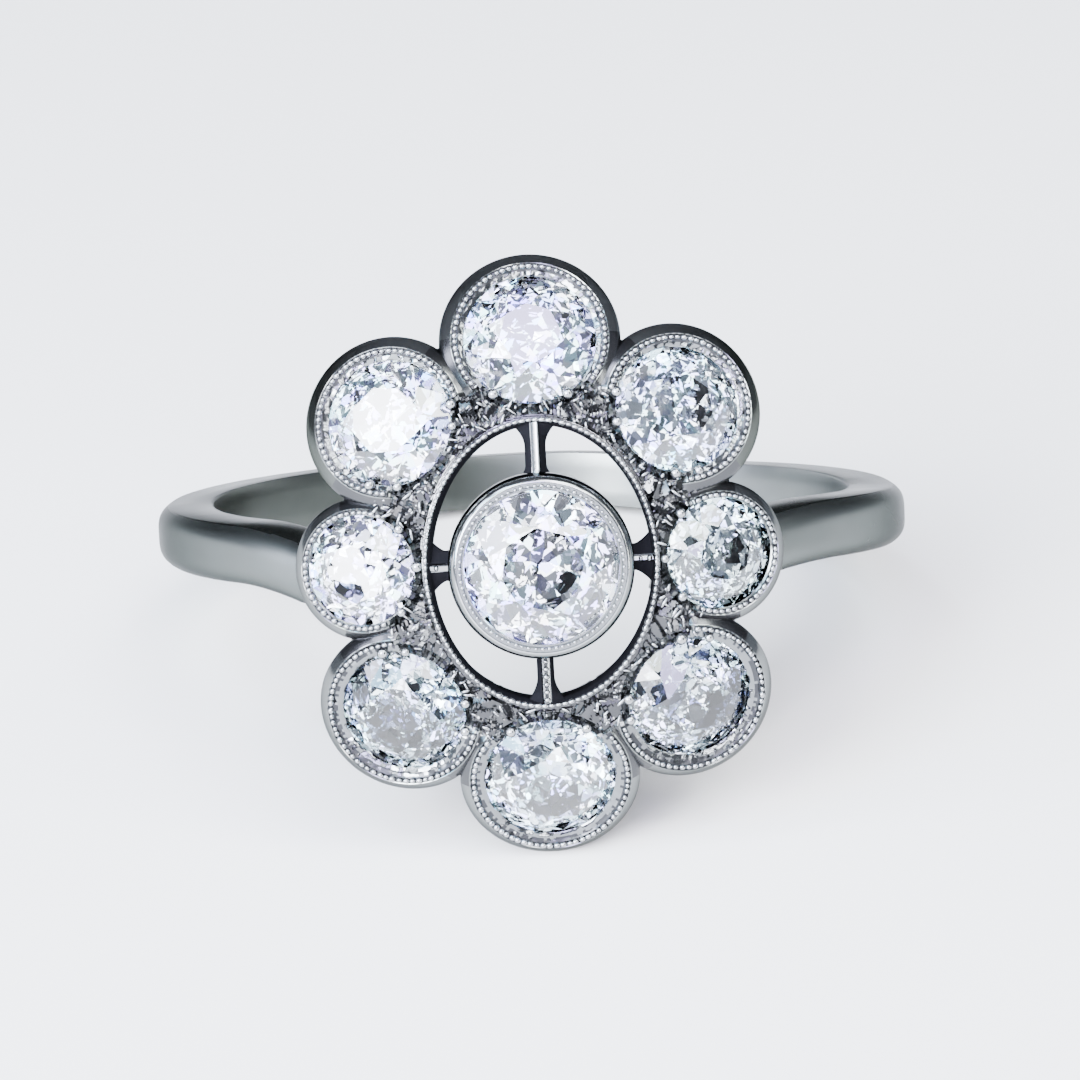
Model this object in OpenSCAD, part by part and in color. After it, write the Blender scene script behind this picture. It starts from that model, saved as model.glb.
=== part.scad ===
// Daisy cluster ring: eight round stones in petal collets round a raised centre stone.
// It is modelled lying as it rests, on the back of the hoop and the bottom petal, finger hole open.

/* [Shank] */
// inner diameter of the hoop
finger_d = 17; // [14:0.1:22]
// diameter of the circle that the outside of the hoop follows
hoop_d = 20; // [17.6:0.1:24]
// how far that circle sits nearer the head than the finger hole does
hoop_shift = 0.45; // [0.1:0.05:0.8]
// width of the band along the finger
shank_w = 1.5; // [1.1:0.05:2.4]
// radius of the half-round outside of the band
shank_round_r = 0.95; // [0.75:0.05:1.6]
// half of the angle that the band leaves open under the head
shank_open_deg = 28; // [26:0.5:31]

/* [Stones] */
// girdle diameter of the centre stone
centre_stone_d = 3.9; // [3.2:0.05:4.1]
// girdle diameter of the stones at the top and the bottom
end_stone_d = 3.3; // [2.6:0.05:3.5]
// girdle diameter of the four corner stones
corner_stone_d = 3.15; // [2.6:0.05:3.3]
// girdle diameter of the stones at the left and the right
side_stone_d = 2.8; // [2.3:0.05:2.9]
// thickness of the girdle
girdle_t = 0.08; // [0.04:0.01:0.12]
// angle of the crown mains
crown_deg = 36; // [30:1:40]
// angle of the pavilion mains
pavilion_deg = 41; // [38:0.5:43]
// gap all round a stone in its seat
seat_clear = 0.03; // [0.02:0.005:0.05]

/* [Head] */
// height of the crest of the head over the middle of the finger hole
crest_h = 11.8; // [11.5:0.05:13]
// radius of the dome that the petals follow
dome_r = 14.75; // [13:0.05:18]
// height of the flat underside of the head over the middle of the finger hole
head_base_h = 8.8; // [8.6:0.05:9.4]
// how far the end stones stand from the middle of the head
end_reach = 5.45; // [5.2:0.05:5.9]
// how far the corner stones stand from the middle of the head
corner_reach = 5.03; // [4.85:0.05:5.4]
// angle of the corner stones up from the line through the side stones
corner_deg = 45.3; // [43:0.1:48]
// how far the side stones stand from the middle of the head
side_reach = 4.39; // [4.3:0.05:4.7]
// how far the end and corner collets stand out past their girdles
petal_wall = 0.58; // [0.45:0.01:0.7]
// how far the side collets stand out past their girdles
side_wall = 0.36; // [0.3:0.01:0.5]
// width of the smooth bevel round the outside of each rim
bevel_w = 0.24; // [0.12:0.01:0.28]
// drop of that bevel
bevel_drop = 0.26; // [0.1:0.01:0.4]
// how far a rim reaches in over its girdle
lip_w = 0.07; // [0.04:0.01:0.12]
// height of a petal rim over the dome
rim_rise = 0.1; // [0.05:0.01:0.2]
// depth of a collet below the dome
collet_depth = 2.3; // [1.9:0.05:2.6]
// how much narrower a collet is at its foot
collet_taper = 0.4; // [0.1:0.05:0.6]
// radius of the hollow between two petals on the outline
notch_r = 0.45; // [0.25:0.05:0.7]
// height of the plate between the stones over the dome
plate_rise = 0.14; // [0.05:0.01:0.2]
// thickness of the plate between the stones
plate_t = 0.9; // [0.6:0.05:1.2]

/* [Gallery] */
// width of the oval opening at its rim
gallery_w = 5.6; // [5.2:0.05:5.7]
// height of the oval opening at its rim
gallery_l = 7; // [6.2:0.05:7.1]
// how much the opening closes in on each side on its way down
gallery_lean = 0.14; // [0.05:0.01:0.25]
// thickness of the wall round the opening, below the plate
gallery_wall = 0.3; // [0.2:0.01:0.45]
// depth of that wall below the crest
gallery_depth = 1.9; // [1.2:0.05:2.2]
// rise of the centre collet's rim over the crest
centre_rise = 0.6; // [0.3:0.05:0.9]
// how far the centre collet stands out past its girdle
centre_wall = 0.33; // [0.25:0.01:0.4]
// height of the centre collet from foot to rim
centre_h = 2.6; // [2.4:0.05:2.9]
// width of the bars at the top and the bottom
end_bar_w = 0.46; // [0.3:0.02:0.7]
// width of the bars at the left and the right
side_bar_w = 0.6; // [0.3:0.02:0.8]
// height of the bars from flat to ridge
bar_h = 0.55; // [0.4:0.05:0.7]
// depth of the ridge of the bars below the crest
bar_drop = 0.3; // [0.15:0.05:0.5]

/* [Hidden] */
$fn = 96;

metal_tone = [0.82, 0.83, 0.85];
stone_tone = [0.86, 0.9, 0.97, 0.75];
finger_r = finger_d / 2;
hoop_r = hoop_d / 2;
past = 1;

// kinds of petal, one row each: stone diameter, reach, rim width
KIND_D = 0;
KIND_REACH = 1;
KIND_WALL = 2;
END = 0;
CORNER = 1;
SIDE = 2;
KINDS = [
    [end_stone_d, end_reach, petal_wall],
    [corner_stone_d, corner_reach, petal_wall],
    [side_stone_d, side_reach, side_wall]
];

// petals in order anticlockwise from the right: kind, angle
PETAL_KIND = 0;
PETAL_DEG = 1;
RIGHT = 0;
UPPER_RIGHT = 1;
TOP = 2;
UPPER_LEFT = 3;
LEFT = 4;
LOWER_LEFT = 5;
BOTTOM = 6;
LOWER_RIGHT = 7;
half_turn = 180;
full_turn = 360;
quarter_turn = 90;
PETALS = [
    [SIDE, 0],
    [CORNER, corner_deg],
    [END, quarter_turn],
    [CORNER, half_turn - corner_deg],
    [SIDE, half_turn],
    [CORNER, half_turn + corner_deg],
    [END, half_turn + quarter_turn],
    [CORNER, full_turn - corner_deg]
];

// shares of a stone's girdle radius: table, star corners, lower facets, culet
table_share = 0.5;
star_share = 0.69;
lower_share = 0.34;
culet_share = 0.08;
main_count = 8;
main_step = full_turn / main_count;
half_step = main_step / 2;

dome_mid_h = crest_h - dome_r;
girdle_drop = rim_rise / 2 + 0.06;
hole_share = 0.5;
crown_lift_deg = 45;
lip_out = 0.1;
centre_lip_out = 0.03;
side_collet_depth = 1.4 * collet_depth;
plate_share = 1.05;
plate_w = 2 * side_reach * plate_share;
plate_l = 2 * end_reach * plate_share;

function kind_of(i) = KINDS[PETALS[i][PETAL_KIND]];
function lean_of(i) = asin(kind_of(i)[KIND_REACH] / dome_r);
function petal_r(i) = kind_of(i)[KIND_D] / 2 + kind_of(i)[KIND_WALL];
function petal_mid(i) = kind_of(i)[KIND_REACH] * [cos(PETALS[i][PETAL_DEG]), sin(PETALS[i][PETAL_DEG])];

// height of the table of a stone of diameter d over its girdle
function table_rise(d) = d / 2 * (1 - table_share) * tan(crown_deg);

// how far the opening has closed in on each side at height h
function lean_at(h) = gallery_lean * (crest_h - h) / gallery_depth;

// meeting point, on the outer side, of two circles about p and q
function meet(p, pr, q, qr) =
    let (d = norm(q - p), e = (q - p) / d, along = (d * d + pr * pr - qr * qr) / (2 * d))
    p + e * along + [e[1], -e[0]] * sqrt(pr * pr - along * along);

// rest pose: the lowest edge of the band's back and the widest edge of the bottom petal touch the floor
back_edge_y = hoop_r - hoop_shift - shank_round_r + sqrt(pow(shank_round_r, 2) - pow(shank_w / 2, 2));
foot_r = petal_r(BOTTOM);
foot_up = dome_r + rim_rise - bevel_drop;
foot_v = foot_up * sin(lean_of(BOTTOM)) + foot_r * cos(lean_of(BOTTOM));
foot_h = dome_mid_h + foot_up * cos(lean_of(BOTTOM)) - foot_r * sin(lean_of(BOTTOM));
rest_tilt = atan((foot_v - shank_w / 2) / (foot_h + back_edge_y));
floor_drop = foot_v * cos(rest_tilt) - foot_h * sin(rest_tilt);
centre_rim_h = crest_h + centre_rise;
centre_r = centre_stone_d / 2 + centre_wall;
centre_table_h = centre_rim_h - rim_rise - girdle_drop + table_rise(centre_stone_d);
centre_table_y = centre_table_h * cos(rest_tilt) + centre_stone_d / 2 * table_share * sin(rest_tilt);
centre_edge_y = centre_rim_h * cos(rest_tilt) + (centre_r - bevel_w) * sin(rest_tilt);
bottom_table_up = dome_r - girdle_drop + table_rise(kind_of(BOTTOM)[KIND_D]);
bottom_off = lean_of(BOTTOM) - rest_tilt;
bottom_table_y = dome_mid_h * cos(rest_tilt) + bottom_table_up * cos(bottom_off)
    + kind_of(BOTTOM)[KIND_D] / 2 * table_share * sin(abs(bottom_off));
front_y = max(centre_table_y, centre_edge_y, bottom_table_y);
back_y = (hoop_r - hoop_shift - shank_round_r) * cos(rest_tilt) + shank_round_r;
mid_y = (back_y - front_y) / 2;

// puts a ring made about the upright finger axis, head toward -Y, into its rest pose
module rested() translate([0, -mid_y, floor_drop]) rotate([-rest_tilt, 0, 0]) children();

// turns the head's own axes (right, up the finger, out from the finger) into the ring's
module headed() rotate([quarter_turn, 0, 0]) children();

// stands things made at a petal's middle, on the dome, at petal i
module on_petal(i)
    translate([0, 0, dome_mid_h])
        rotate([0, lean_of(i), PETALS[i][PETAL_DEG]])
            translate([0, 0, dome_r]) children();

module outline(r_rim, depth)
    rotate_extrude()
        polygon([[0, -depth], [r_rim - collet_taper, -depth], [r_rim, rim_rise - bevel_drop],
            [r_rim - bevel_w, rim_rise], [0, rim_rise]]);

// the room that a stone takes in its collet, open at the top and drilled through below
module seat(stone_r, rim_in, deep)
    rotate_extrude()
        polygon([
            [0, rim_rise + past],
            [rim_in + past / 2, rim_rise + past],
            [rim_in, rim_rise],
            [stone_r - lip_w, lip_w * tan(crown_lift_deg) + seat_clear - girdle_drop],
            [stone_r + seat_clear, seat_clear - girdle_drop],
            [stone_r + seat_clear, -girdle_t - seat_clear - girdle_drop],
            [stone_r * hole_share, -girdle_t - stone_r * (1 - hole_share) * tan(pavilion_deg)
                - 2 * seat_clear - girdle_drop],
            [stone_r * hole_share, -deep],
            [0, -deep]
        ]);

// round old-cut stone, its girdle's upper edge sunk by the girdle drop
module stone(d) {
    r = d / 2;
    table_z = table_rise(d);
    star_r = r * star_share;
    star_z = table_z * (r - star_r * cos(half_step)) / (r - r * table_share);
    culet_flat = r * culet_share;
    culet_z = -girdle_t - (r - culet_flat) * tan(pavilion_deg);
    low_r = r * lower_share;
    low_flat = low_r * cos(half_step);
    low_z = -girdle_t - (culet_z + girdle_t) * (low_flat - r) / (r - culet_flat);
    points = [
        for (k = [0 : main_count - 1]) r * table_share * [cos(k * main_step), sin(k * main_step), 0]
            + [0, 0, table_z],
        for (k = [0 : main_count - 1]) star_r * [cos((k + 0.5) * main_step), sin((k + 0.5) * main_step), 0]
            + [0, 0, star_z],
        for (k = [0 : 2 * main_count - 1]) r * [cos(k * half_step), sin(k * half_step), 0],
        for (k = [0 : 2 * main_count - 1]) r * [cos(k * half_step), sin(k * half_step), 0]
            - [0, 0, girdle_t],
        for (k = [0 : main_count - 1]) low_r * [cos((k + 0.5) * main_step), sin((k + 0.5) * main_step), 0]
            + [0, 0, low_z],
        for (k = [0 : main_count - 1]) culet_flat / cos(half_step)
            * [cos((k + 0.5) * main_step), sin((k + 0.5) * main_step), 0] + [0, 0, culet_z]
    ];
    star = main_count;
    upper = 2 * main_count;
    under = 4 * main_count;
    low = 6 * main_count;
    culet = 7 * main_count;
    n = main_count;
    faces = [
        [for (k = [n - 1 : -1 : 0]) k],
        for (k = [0 : n - 1]) [k, (k + 1) % n, star + k],
        for (k = [0 : n - 1]) [k, star + k, upper + 2 * k, star + (k + n - 1) % n],
        for (k = [0 : n - 1]) [star + k, upper + 2 * k + 1, upper + 2 * k],
        for (k = [0 : n - 1]) [star + k, upper + (2 * k + 2) % (2 * n), upper + 2 * k + 1],
        for (k = [0 : 2 * n - 1]) [upper + k, upper + (k + 1) % (2 * n), under + (k + 1) % (2 * n), under + k],
        for (k = [0 : n - 1]) [under + 2 * k, under + 2 * k + 1, low + k],
        for (k = [0 : n - 1]) [under + 2 * k + 1, under + (2 * k + 2) % (2 * n), low + k],
        for (k = [0 : n - 1]) [under + 2 * k, low + k, culet + k, culet + (k + n - 1) % n,
            low + (k + n - 1) % n],
        [for (k = [0 : n - 1]) culet + k]
    ];
    translate([0, 0, -girdle_drop]) polyhedron(points, faces);
}

// half-round band, left open under the head
module shank()
    difference() {
        translate([0, -hoop_shift, 0])
            rotate_extrude()
                intersection() {
                    union() {
                        translate([hoop_r - shank_round_r, 0]) circle(r = shank_round_r);
                        translate([0, -shank_w / 2]) square([hoop_r - shank_round_r, shank_w]);
                    }
                    translate([0, -shank_w / 2]) square([hoop_r + past, shank_w]);
                }
        rotate([0, 0, -quarter_turn - shank_open_deg])
            rotate_extrude(angle = 2 * shank_open_deg)
                translate([0, -shank_w]) square([hoop_d, 2 * shank_w]);
    }

// metal that rounds off the hollow between petals i and j down the outside of the head
module notch(i, j) {
    p = petal_mid(i);
    q = petal_mid(j);
    f = meet(p, petal_r(i) + notch_r, q, petal_r(j) + notch_r);
    translate([0, 0, head_base_h])
        linear_extrude(height = crest_h - head_base_h)
            difference() {
                polygon([p, f, q]);
                translate(f) circle(r = notch_r);
            }
}

// oval prism about the middle of the head, from one height up to another
module oval(w_low, l_low, w_top, l_top, low_h, top_h)
    translate([0, 0, low_h])
        scale([w_top / l_top, 1, 1])
            cylinder(h = top_h - low_h, r1 = l_low / 2, r2 = l_top / 2);

module bar(w, deg, reach)
    rotate([0, 0, deg])
        translate([centre_r - centre_wall, 0, crest_h - bar_drop - bar_h])
            rotate([quarter_turn, 0, quarter_turn])
                linear_extrude(height = reach - centre_r + centre_wall)
                    polygon([[-w / 2, 0], [w / 2, 0], [w / 2, bar_h / 2], [0, bar_h], [-w / 2, bar_h / 2]]);

// the eight collets, still solid, with the metal between them and the shell of the plate
module head_blank()
    union() {
        intersection() {
            for (i = [0 : len(PETALS) - 1])
                if (PETALS[i][PETAL_KIND] != SIDE)
                    on_petal(i) outline(petal_r(i), collet_depth);
            translate([-hoop_r, -hoop_r, head_base_h]) cube([hoop_d, hoop_d, hoop_r]);
        }
        for (i = [RIGHT, LEFT])
            on_petal(i) outline(petal_r(i), side_collet_depth);
        intersection() {
            translate([0, 0, dome_mid_h]) sphere(r = dome_r - rim_rise);
            for (i = [0 : len(PETALS) - 1])
                notch((i + 1) % len(PETALS), i);
        }
        intersection() {
            difference() {
                translate([0, 0, dome_mid_h]) sphere(r = dome_r + plate_rise);
                translate([0, 0, dome_mid_h]) sphere(r = dome_r + plate_rise - plate_t);
            }
            oval(plate_w, plate_l, plate_w, plate_l, head_base_h, crest_h + past);
        }
        intersection() {
            translate([0, 0, dome_mid_h]) sphere(r = dome_r);
            oval(gallery_w + 2 * gallery_wall, gallery_l + 2 * gallery_wall,
                gallery_w + 2 * gallery_wall, gallery_l + 2 * gallery_wall,
                crest_h - gallery_depth, crest_h + past);
        }
    }

module head()
    difference() {
        union() {
            difference() {
                head_blank();
                oval(gallery_w - 2 * lean_at(head_base_h - past), gallery_l - 2 * lean_at(head_base_h - past),
                    gallery_w - 2 * lean_at(crest_h + past), gallery_l - 2 * lean_at(crest_h + past),
                    head_base_h - past, crest_h + past);
            }
            translate([0, 0, centre_rim_h - rim_rise]) outline(centre_r, centre_h);
            for (deg = [0, half_turn])
                bar(side_bar_w, deg, gallery_w / 2 + gallery_wall / 2);
            for (deg = [quarter_turn, half_turn + quarter_turn])
                bar(end_bar_w, deg, gallery_l / 2 + gallery_wall / 2);
        }
        translate([0, 0, centre_rim_h - rim_rise])
            seat(centre_stone_d / 2, centre_stone_d / 2 + centre_lip_out, centre_h + past);
        for (i = [0 : len(PETALS) - 1])
            on_petal(i)
                seat(kind_of(i)[KIND_D] / 2, kind_of(i)[KIND_D] / 2 + lip_out, side_collet_depth + past);
    }

module ring_setting() color(metal_tone) rested() difference() {
    union() {
        shank();
        headed() head();
    }
    cylinder(h = hoop_d, r = finger_r, center = true);
}

module set_stone(i) color(stone_tone) rested() headed() on_petal(i) stone(kind_of(i)[KIND_D]);

module centre_stone() color(stone_tone) rested() headed()
    translate([0, 0, centre_rim_h - rim_rise]) stone(centre_stone_d);
module stone_top() set_stone(TOP);
module stone_upper_right() set_stone(UPPER_RIGHT);
module stone_right() set_stone(RIGHT);
module stone_lower_right() set_stone(LOWER_RIGHT);
module stone_bottom() set_stone(BOTTOM);
module stone_lower_left() set_stone(LOWER_LEFT);
module stone_left() set_stone(LEFT);
module stone_upper_left() set_stone(UPPER_LEFT);

ring_setting();
centre_stone();
stone_top();
stone_upper_right();
stone_right();
stone_lower_right();
stone_bottom();
stone_lower_left();
stone_left();
stone_upper_left();
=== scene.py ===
import math
import random

import bmesh
import bpy
from mathutils import Matrix, Vector, noise


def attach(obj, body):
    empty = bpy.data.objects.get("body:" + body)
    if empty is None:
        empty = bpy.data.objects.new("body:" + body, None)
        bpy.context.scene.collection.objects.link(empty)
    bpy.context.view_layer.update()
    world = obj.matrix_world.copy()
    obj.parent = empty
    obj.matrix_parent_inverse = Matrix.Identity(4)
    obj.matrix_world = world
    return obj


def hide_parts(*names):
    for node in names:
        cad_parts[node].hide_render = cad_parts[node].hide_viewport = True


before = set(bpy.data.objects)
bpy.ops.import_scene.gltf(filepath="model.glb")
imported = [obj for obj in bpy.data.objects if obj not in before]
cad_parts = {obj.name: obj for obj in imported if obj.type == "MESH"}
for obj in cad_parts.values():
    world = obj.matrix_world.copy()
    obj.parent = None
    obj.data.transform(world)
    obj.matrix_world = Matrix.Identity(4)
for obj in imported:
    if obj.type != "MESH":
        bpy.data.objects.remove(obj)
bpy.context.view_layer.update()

# Shank
# A plain band, nearly flat in front with worn round corners, bent up from drawn wire. It is soldered
# under the two side collets and open between them, a little bent, and thinner at the back.
MM = 0.001
FINGER_R = 8.5
HOOP_R = 10.0
HOOP_SHIFT = 0.45
SHANK_W = 1.5
SHANK_OPEN_DEG = 28.5
SHANK_STEPS = 180
FRONT_STEPS = 22
CORNER_DROP = 0.34
CORNER_POWER = 4.0
# the worn inner edge: lift off the finger, distance in from the side
INNER_EDGE = ((0.26, 0.0), (0.13, 0.03), (0.05, 0.09), (0.01, 0.20))
INNER_FLAT = 0.3
EDGE_FROM = 0.4
CRISP_MOST = 0.97
WORN_DEG = 70.0
WORN_FADE_DEG = 45.0
BACK_WEAR = 0.07
SHOULDER_DROP = 0.96
SHOULDER_DEG = 22.0
SHOULDER_LOW = 0.42
RIGHT_SHARE = 0.45
END_LIFT = 0.36
END_DEG = 8.0
BEND = 0.35
BEND_FROM_DEG = 95.0
BEND_TO_DEG = 136.0
BEND_END_DEG = 176.0
INSIDE_SEEN = 0.06
SIDE_FACING = 0.85
REST_TILT_DEG = 19.490950
REST_BACK = 1.713687
REST_LIFT = 3.771034
BAND_TONE = (0.135, 0.147, 0.140, 1.0)
INSIDE_TONE = (0.235, 0.25, 0.245, 1.0)
# painted shade: the dark tone that parts of the band and the upper rims are darkened to
PAINTED_SHADE_TONE = (0.085, 0.092, 0.083, 1.0)
RUB_SCALE = 900.0
PATCH_SCALE = 260.0
BUMP_DEPTH = 0.00001
# stops of the worn polish: place, value
ROUGH_STOPS = ((0.3, 0.09), (0.55, 0.15), (0.75, 0.24))
TONE_STOPS = ((0.35, 1.0), (0.8, 0.82))

# the ring's own axes, with the finger axis upright and the head toward -Y, into the rest pose
RING = (
    Matrix.Scale(MM, 4)
    @ Matrix.Translation((0.0, REST_BACK, REST_LIFT))
    @ Matrix.Rotation(math.radians(-REST_TILT_DEG), 4, "X")
)
# the head's axes (right, up the finger, out from the finger) into the rest pose
HEAD = RING @ Matrix.Rotation(math.radians(90.0), 4, "X")


def link(tree, a, out, b, into):
    tree.links.new(a.outputs[out], b.inputs[into])


def ramp(node, stops):
    """Sets a colour ramp's stops, each a place and a grey value."""
    band = node.color_ramp
    while len(band.elements) > 1:
        band.elements.remove(band.elements[-1])
    band.elements[0].position = stops[0][0]
    band.elements[0].color = (*[stops[0][1]] * 3, 1.0)
    for place, value in stops[1:]:
        stop = band.elements.new(place)
        stop.color = (*[value] * 3, 1.0)


def wear_group():
    """Puts out a roughness, a tone mask and a fine height for worn polished metal."""
    tree = bpy.data.node_groups.new("worn_polish", "ShaderNodeTree")
    for name, kind in (
        ("Roughness", "NodeSocketFloat"),
        ("Tone", "NodeSocketFloat"),
        ("Height", "NodeSocketFloat"),
    ):
        tree.interface.new_socket(name, in_out="OUTPUT", socket_type=kind)
    out = tree.nodes.new("NodeGroupOutput")
    coord = tree.nodes.new("ShaderNodeTexCoord")
    patches = tree.nodes.new("ShaderNodeTexNoise")
    patches.inputs["Scale"].default_value = PATCH_SCALE
    patches.inputs["Detail"].default_value = 4.0
    link(tree, coord, "Object", patches, "Vector")
    rough = tree.nodes.new("ShaderNodeValToRGB")
    ramp(rough, ROUGH_STOPS)
    link(tree, patches, "Fac", rough, "Fac")
    link(tree, rough, "Color", out, "Roughness")
    tone = tree.nodes.new("ShaderNodeValToRGB")
    ramp(tone, TONE_STOPS)
    link(tree, patches, "Fac", tone, "Fac")
    link(tree, tone, "Color", out, "Tone")
    rubs = tree.nodes.new("ShaderNodeTexNoise")
    rubs.inputs["Scale"].default_value = RUB_SCALE
    rubs.inputs["Detail"].default_value = 6.0
    rubs.inputs["Roughness"].default_value = 0.65
    link(tree, coord, "Object", rubs, "Vector")
    link(tree, rubs, "Fac", out, "Height")
    return tree


WORN = wear_group()


def metal_material(name, tone, extra_rough, bump, edge=1.0):
    """Worn platinum of one tone. Edge dulls what it mirrors at a low angle."""
    mat = bpy.data.materials.new(name)
    mat.use_nodes = True
    tree = mat.node_tree
    shader = tree.nodes["Principled BSDF"]
    shader.inputs["Metallic"].default_value = 1.0
    shader.inputs["Specular Tint"].default_value = (edge, edge, edge, 1.0)
    worn = tree.nodes.new("ShaderNodeGroup")
    worn.node_tree = WORN
    colour = tree.nodes.new("ShaderNodeMix")
    colour.data_type = "RGBA"
    colour.blend_type = "MULTIPLY"
    colour.inputs["Factor"].default_value = 1.0
    colour.inputs[6].default_value = tone
    tree.links.new(worn.outputs["Tone"], colour.inputs[7])
    tree.links.new(colour.outputs[2], shader.inputs["Base Color"])
    rough = tree.nodes.new("ShaderNodeMath")
    rough.operation = "ADD"
    rough.inputs[1].default_value = extra_rough
    link(tree, worn, "Roughness", rough, 0)
    link(tree, rough, 0, shader, "Roughness")
    height = tree.nodes.new("ShaderNodeBump")
    height.inputs["Strength"].default_value = bump
    height.inputs["Distance"].default_value = BUMP_DEPTH
    link(tree, worn, "Height", height, "Height")
    link(tree, height, "Normal", shader, "Normal")
    return mat


def shade_across(mat, tone, start, end, axis="X"):
    """Paints shade on a metal: darkens it to another tone from one place along an axis, clearing to its
    own at the next.
    """
    tree = mat.node_tree
    coord = tree.nodes.new("ShaderNodeTexCoord")
    parts = tree.nodes.new("ShaderNodeSeparateXYZ")
    link(tree, coord, "Object", parts, "Vector")
    span = tree.nodes.new("ShaderNodeMapRange")
    span.inputs["From Min"].default_value = start
    span.inputs["From Max"].default_value = end
    link(tree, parts, axis, span, "Value")
    mixed = tree.nodes.new("ShaderNodeMix")
    mixed.data_type = "RGBA"
    link(tree, span, "Result", mixed, 0)
    worn_colour = next(n for n in tree.nodes if n.type == "MIX" and n.blend_type == "MULTIPLY")
    mixed.inputs[6].default_value = tone
    mixed.inputs[7].default_value = worn_colour.inputs[6].default_value
    tree.links.new(mixed.outputs[2], worn_colour.inputs[6])


# the band is rubbed dull; painted shade darkens its inside toward the left and its side faces toward the
# front
BAND = metal_material("worn_band_platinum", BAND_TONE, extra_rough=0.16, bump=0.4, edge=0.35)
INSIDE = metal_material("inside_platinum_painted_shade", INSIDE_TONE, extra_rough=0.2, bump=0.4, edge=0.5)
shade_across(INSIDE, PAINTED_SHADE_TONE, start=-0.002, end=0.0035)
SIDE = metal_material("worn_side_platinum_painted_shade", BAND_TONE, extra_rough=0.10, bump=0.4, edge=0.35)
shade_across(SIDE, PAINTED_SHADE_TONE, start=-0.0045, end=0.001, axis="Y")


def finish_piece(name, bm, place, finishes, sharp_deg=40.0, node=None):
    """Turns a mesh made in mm into a finished piece that rides on the ring."""
    bmesh.ops.transform(bm, matrix=place, verts=bm.verts)
    bmesh.ops.recalc_face_normals(bm, faces=bm.faces)
    mesh = bpy.data.meshes.new(name)
    bm.to_mesh(mesh)
    bm.free()
    mesh.polygons.foreach_set("use_smooth", [True] * len(mesh.polygons))
    mesh.set_sharp_from_angle(angle=math.radians(sharp_deg))
    for finish in finishes:
        mesh.materials.append(finish)
    piece = bpy.data.objects.new(name, mesh)
    bpy.context.scene.collection.objects.link(piece)
    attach(piece, "root")
    if node:
        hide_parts(node)


def sheet_grid(bm, columns, rows, point):
    """A grid of faces with its corners placed by point(s, t), each from 0 to 1."""
    made = bmesh.ops.create_grid(bm, x_segments=columns, y_segments=rows, size=1.0)["verts"]
    for v in made:
        v.co = point((v.co.x + 1) / 2, (v.co.y + 1) / 2)
    return made


def shank_section():
    """The worn front of the band, nearly flat with round corners: pairs of radius and height."""
    half = SHANK_W / 2
    heights = [half * math.sin(math.pi / 2 * (1 - 2 * k / FRONT_STEPS)) for k in range(FRONT_STEPS + 1)]
    return [(HOOP_R - CORNER_DROP * abs(z / half) ** CORNER_POWER, z) for z in heights]


def bend_at(turn_deg):
    """How far the band is bent down, going round it from the head by the right-hand side."""
    if turn_deg < BEND_FROM_DEG:
        share = math.sin(math.pi / 2 * (turn_deg - SHANK_OPEN_DEG) / (BEND_FROM_DEG - SHANK_OPEN_DEG))
    elif turn_deg < BEND_TO_DEG:
        share = 1.0
    elif turn_deg < BEND_END_DEG:
        share = math.cos(math.pi / 2 * (turn_deg - BEND_TO_DEG) / (BEND_END_DEG - BEND_TO_DEG))
    else:
        share = 0.0
    return BEND * share**2


def make_shank():
    outer = shank_section()
    half = SHANK_W / 2
    inner = [(lift, inset - half) for lift, inset in INNER_EDGE]
    inner += [(0.0, -INNER_FLAT), (0.0, 0.0), (0.0, INNER_FLAT)]
    inner += [(lift, half - inset) for lift, inset in reversed(INNER_EDGE)]
    count = len(outer) + len(inner)
    opening = math.radians(SHANK_OPEN_DEG)
    finishes = (BAND, INSIDE, SIDE)
    bm = bmesh.new()

    def point(s, t):
        a = opening + s * (2 * math.pi - 2 * opening)
        from_head = min(a, 2 * math.pi - a)
        to_end = from_head - opening
        k = round(t * count) % count
        if k < len(outer):
            r, z = outer[k]
            shift = HOOP_SHIFT * math.cos(a)
            radial = shift + math.sqrt(r**2 - (HOOP_SHIFT * math.sin(a)) ** 2)
            radial -= BACK_WEAR * max(0.0, -math.cos(a)) ** 4
        else:
            lift, z = inner[k - len(outer)]
            to_back = from_head - math.radians(WORN_DEG)
            crisp = CRISP_MOST * min(max(to_back / math.radians(WORN_FADE_DEG), 0.0), 1.0)
            if abs(z) > EDGE_FROM:
                z += (math.copysign(half, z) - z) * crisp
                lift *= 1 - crisp
            radial = FINGER_R + lift
            radial += END_LIFT * max(0.0, 1 - to_end / math.radians(END_DEG)) ** 2
        near_end = (SHOULDER_DEG - math.degrees(to_end)) / SHOULDER_DEG
        one_side = 1.0 if math.degrees(a) > 180 else RIGHT_SHARE
        z -= one_side * min(SHOULDER_DROP * max(0.0, near_end) ** 2, SHOULDER_LOW)
        z -= bend_at(math.degrees(a))
        return Vector((math.sin(a), -math.cos(a), 0.0)) * radial + Vector((0.0, 0.0, z))

    sheet_grid(bm, SHANK_STEPS, count, point)
    bmesh.ops.remove_doubles(bm, verts=bm.verts, dist=1e-5)
    bmesh.ops.holes_fill(bm, edges=[e for e in bm.edges if e.is_boundary], sides=0)
    for face in bm.faces:
        mid = face.calc_center_median()
        if math.hypot(mid.x, mid.y) < FINGER_R + INSIDE_SEEN:
            face.material_index = finishes.index(INSIDE)
        elif abs(face.normal.z) > SIDE_FACING:
            face.material_index = finishes.index(SIDE)
    finish_piece("shank", bm, RING, finishes, 30.0, "ring_setting")


make_shank()

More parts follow.
